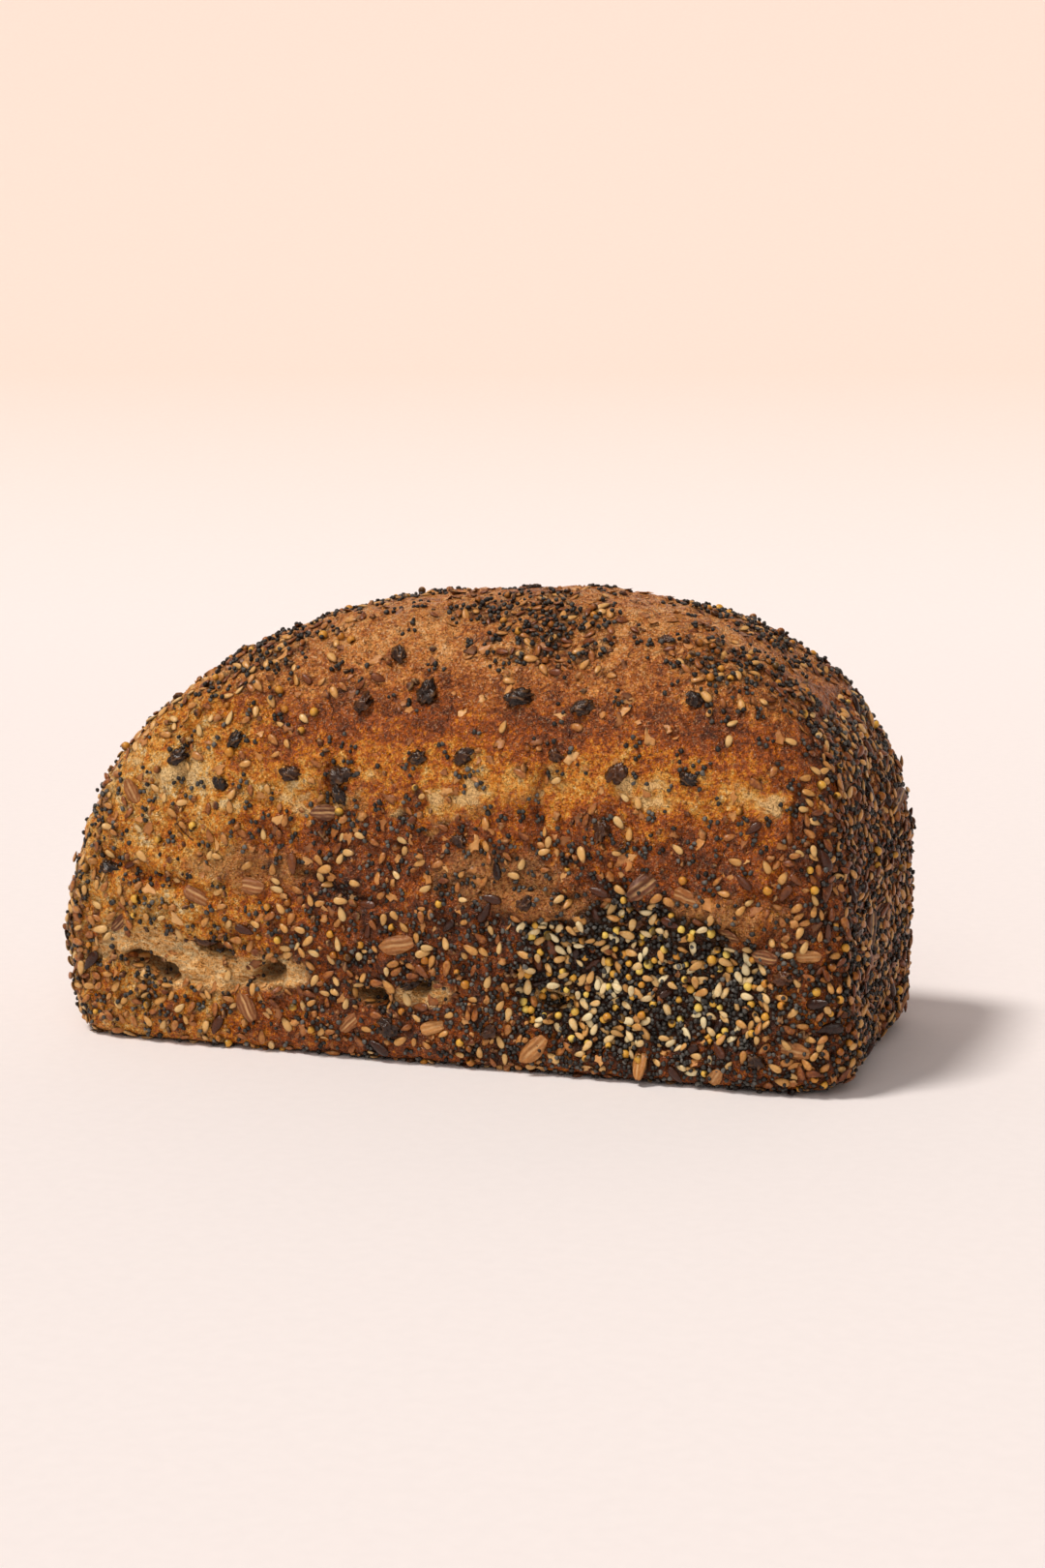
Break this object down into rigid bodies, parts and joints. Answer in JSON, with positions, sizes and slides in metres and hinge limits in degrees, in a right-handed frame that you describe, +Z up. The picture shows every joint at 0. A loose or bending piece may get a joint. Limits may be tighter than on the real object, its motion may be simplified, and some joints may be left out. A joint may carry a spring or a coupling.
{
  "type": "seeded tin loaf",
  "caption": "Small domed tin loaf of bread with a flat base, rounded upright walls and a seeded crust, for a table, board or shelf.",
  "frame": {"origin": "centre of the loaf's outline on the surface that its flat base rests on", "axes": "+X along the loaf towards its steeper end, +Y across it towards the back, +Z up"},
  "size_m": [0.1846, 0.09, 0.1014],
  "materials": {
    "crust": "matte",
    "poppy_seed": "matte",
    "sesame_seed": "satin",
    "millet_seed": "satin",
    "linseed": "gloss",
    "oat_flake": "matte"
  },
  "bodies": {
    "root": {"loaf": "crust"}
  },
  "joints": []
}
